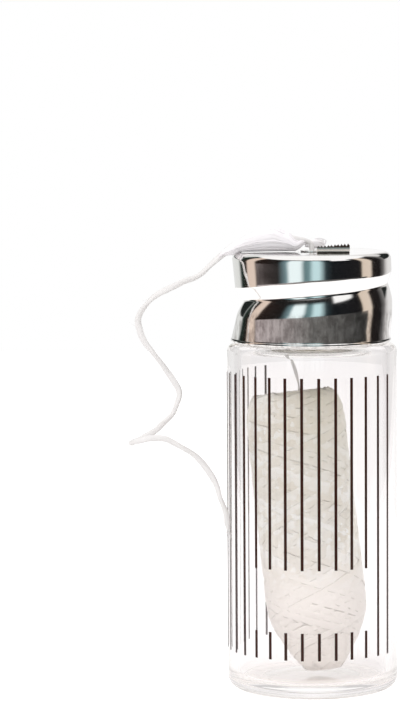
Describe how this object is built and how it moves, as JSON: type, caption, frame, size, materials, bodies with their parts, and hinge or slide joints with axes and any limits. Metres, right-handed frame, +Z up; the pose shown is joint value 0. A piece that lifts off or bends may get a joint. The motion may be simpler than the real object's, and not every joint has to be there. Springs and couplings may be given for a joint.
{
  "type": "dental floss dispenser",
  "caption": "Small glass vial with printed stripes and a pressed steel screw cap, holding a wound silk floss refill whose strand leaves through an eyelet beside a toothed cutter.",
  "frame": {"origin": "centre of the vial's base, on the surface it stands on", "axes": "+Z up along the vial, -Y towards the front with the clear window, +X to the right"},
  "size_m": [0.036, 0.023, 0.063],
  "materials": {
    "clear_glass": "clear, smooth",
    "fired_ink": "screen-printed ceramic ink, satin",
    "polished_steel": "polished, lightly scratched",
    "blade_steel": "sheared and stamped",
    "liner_plastic": "matt foam",
    "wound_silk": "waxed strand, wound",
    "silk_floss": "waxed strand, soft sheen"
  },
  "bodies": {
    "vial": {"glass_vial": "clear_glass", "printed_stripes": "fired_ink", "refill_core": "wound_silk", "refill_winding": "wound_silk", "floss_lead": "silk_floss"},
    "liner": {"cap_liner": "liner_plastic"},
    "cap": {"cap_shell": "polished_steel", "floss_eyelet": "polished_steel", "cutter_blade": "blade_steel"},
    "strand": {"floss_tail": "silk_floss"}
  },
  "joints": [
    {"name": "cap_lift", "type": "slide", "parent": "vial", "child": "liner", "axis": [0, 0, 1], "range_m": [0, 0.01501], "deforming": ["floss_lead"]},
    {"name": "cap_turn", "type": "hinge", "parent": "liner", "child": "cap", "pos_m": [0, 0, 0.05], "axis": [0, 0, 1], "range_deg": [0, 1080]},
    {"name": "floss_draw", "type": "slide", "parent": "cap", "child": "strand", "axis": [0, 0, 1], "range_m": [0, 0.006]}
  ],
  "couplings": [
    {"joint": "cap_lift", "follows": "cap_turn", "m_per_rad": 0.00079577}
  ]
}
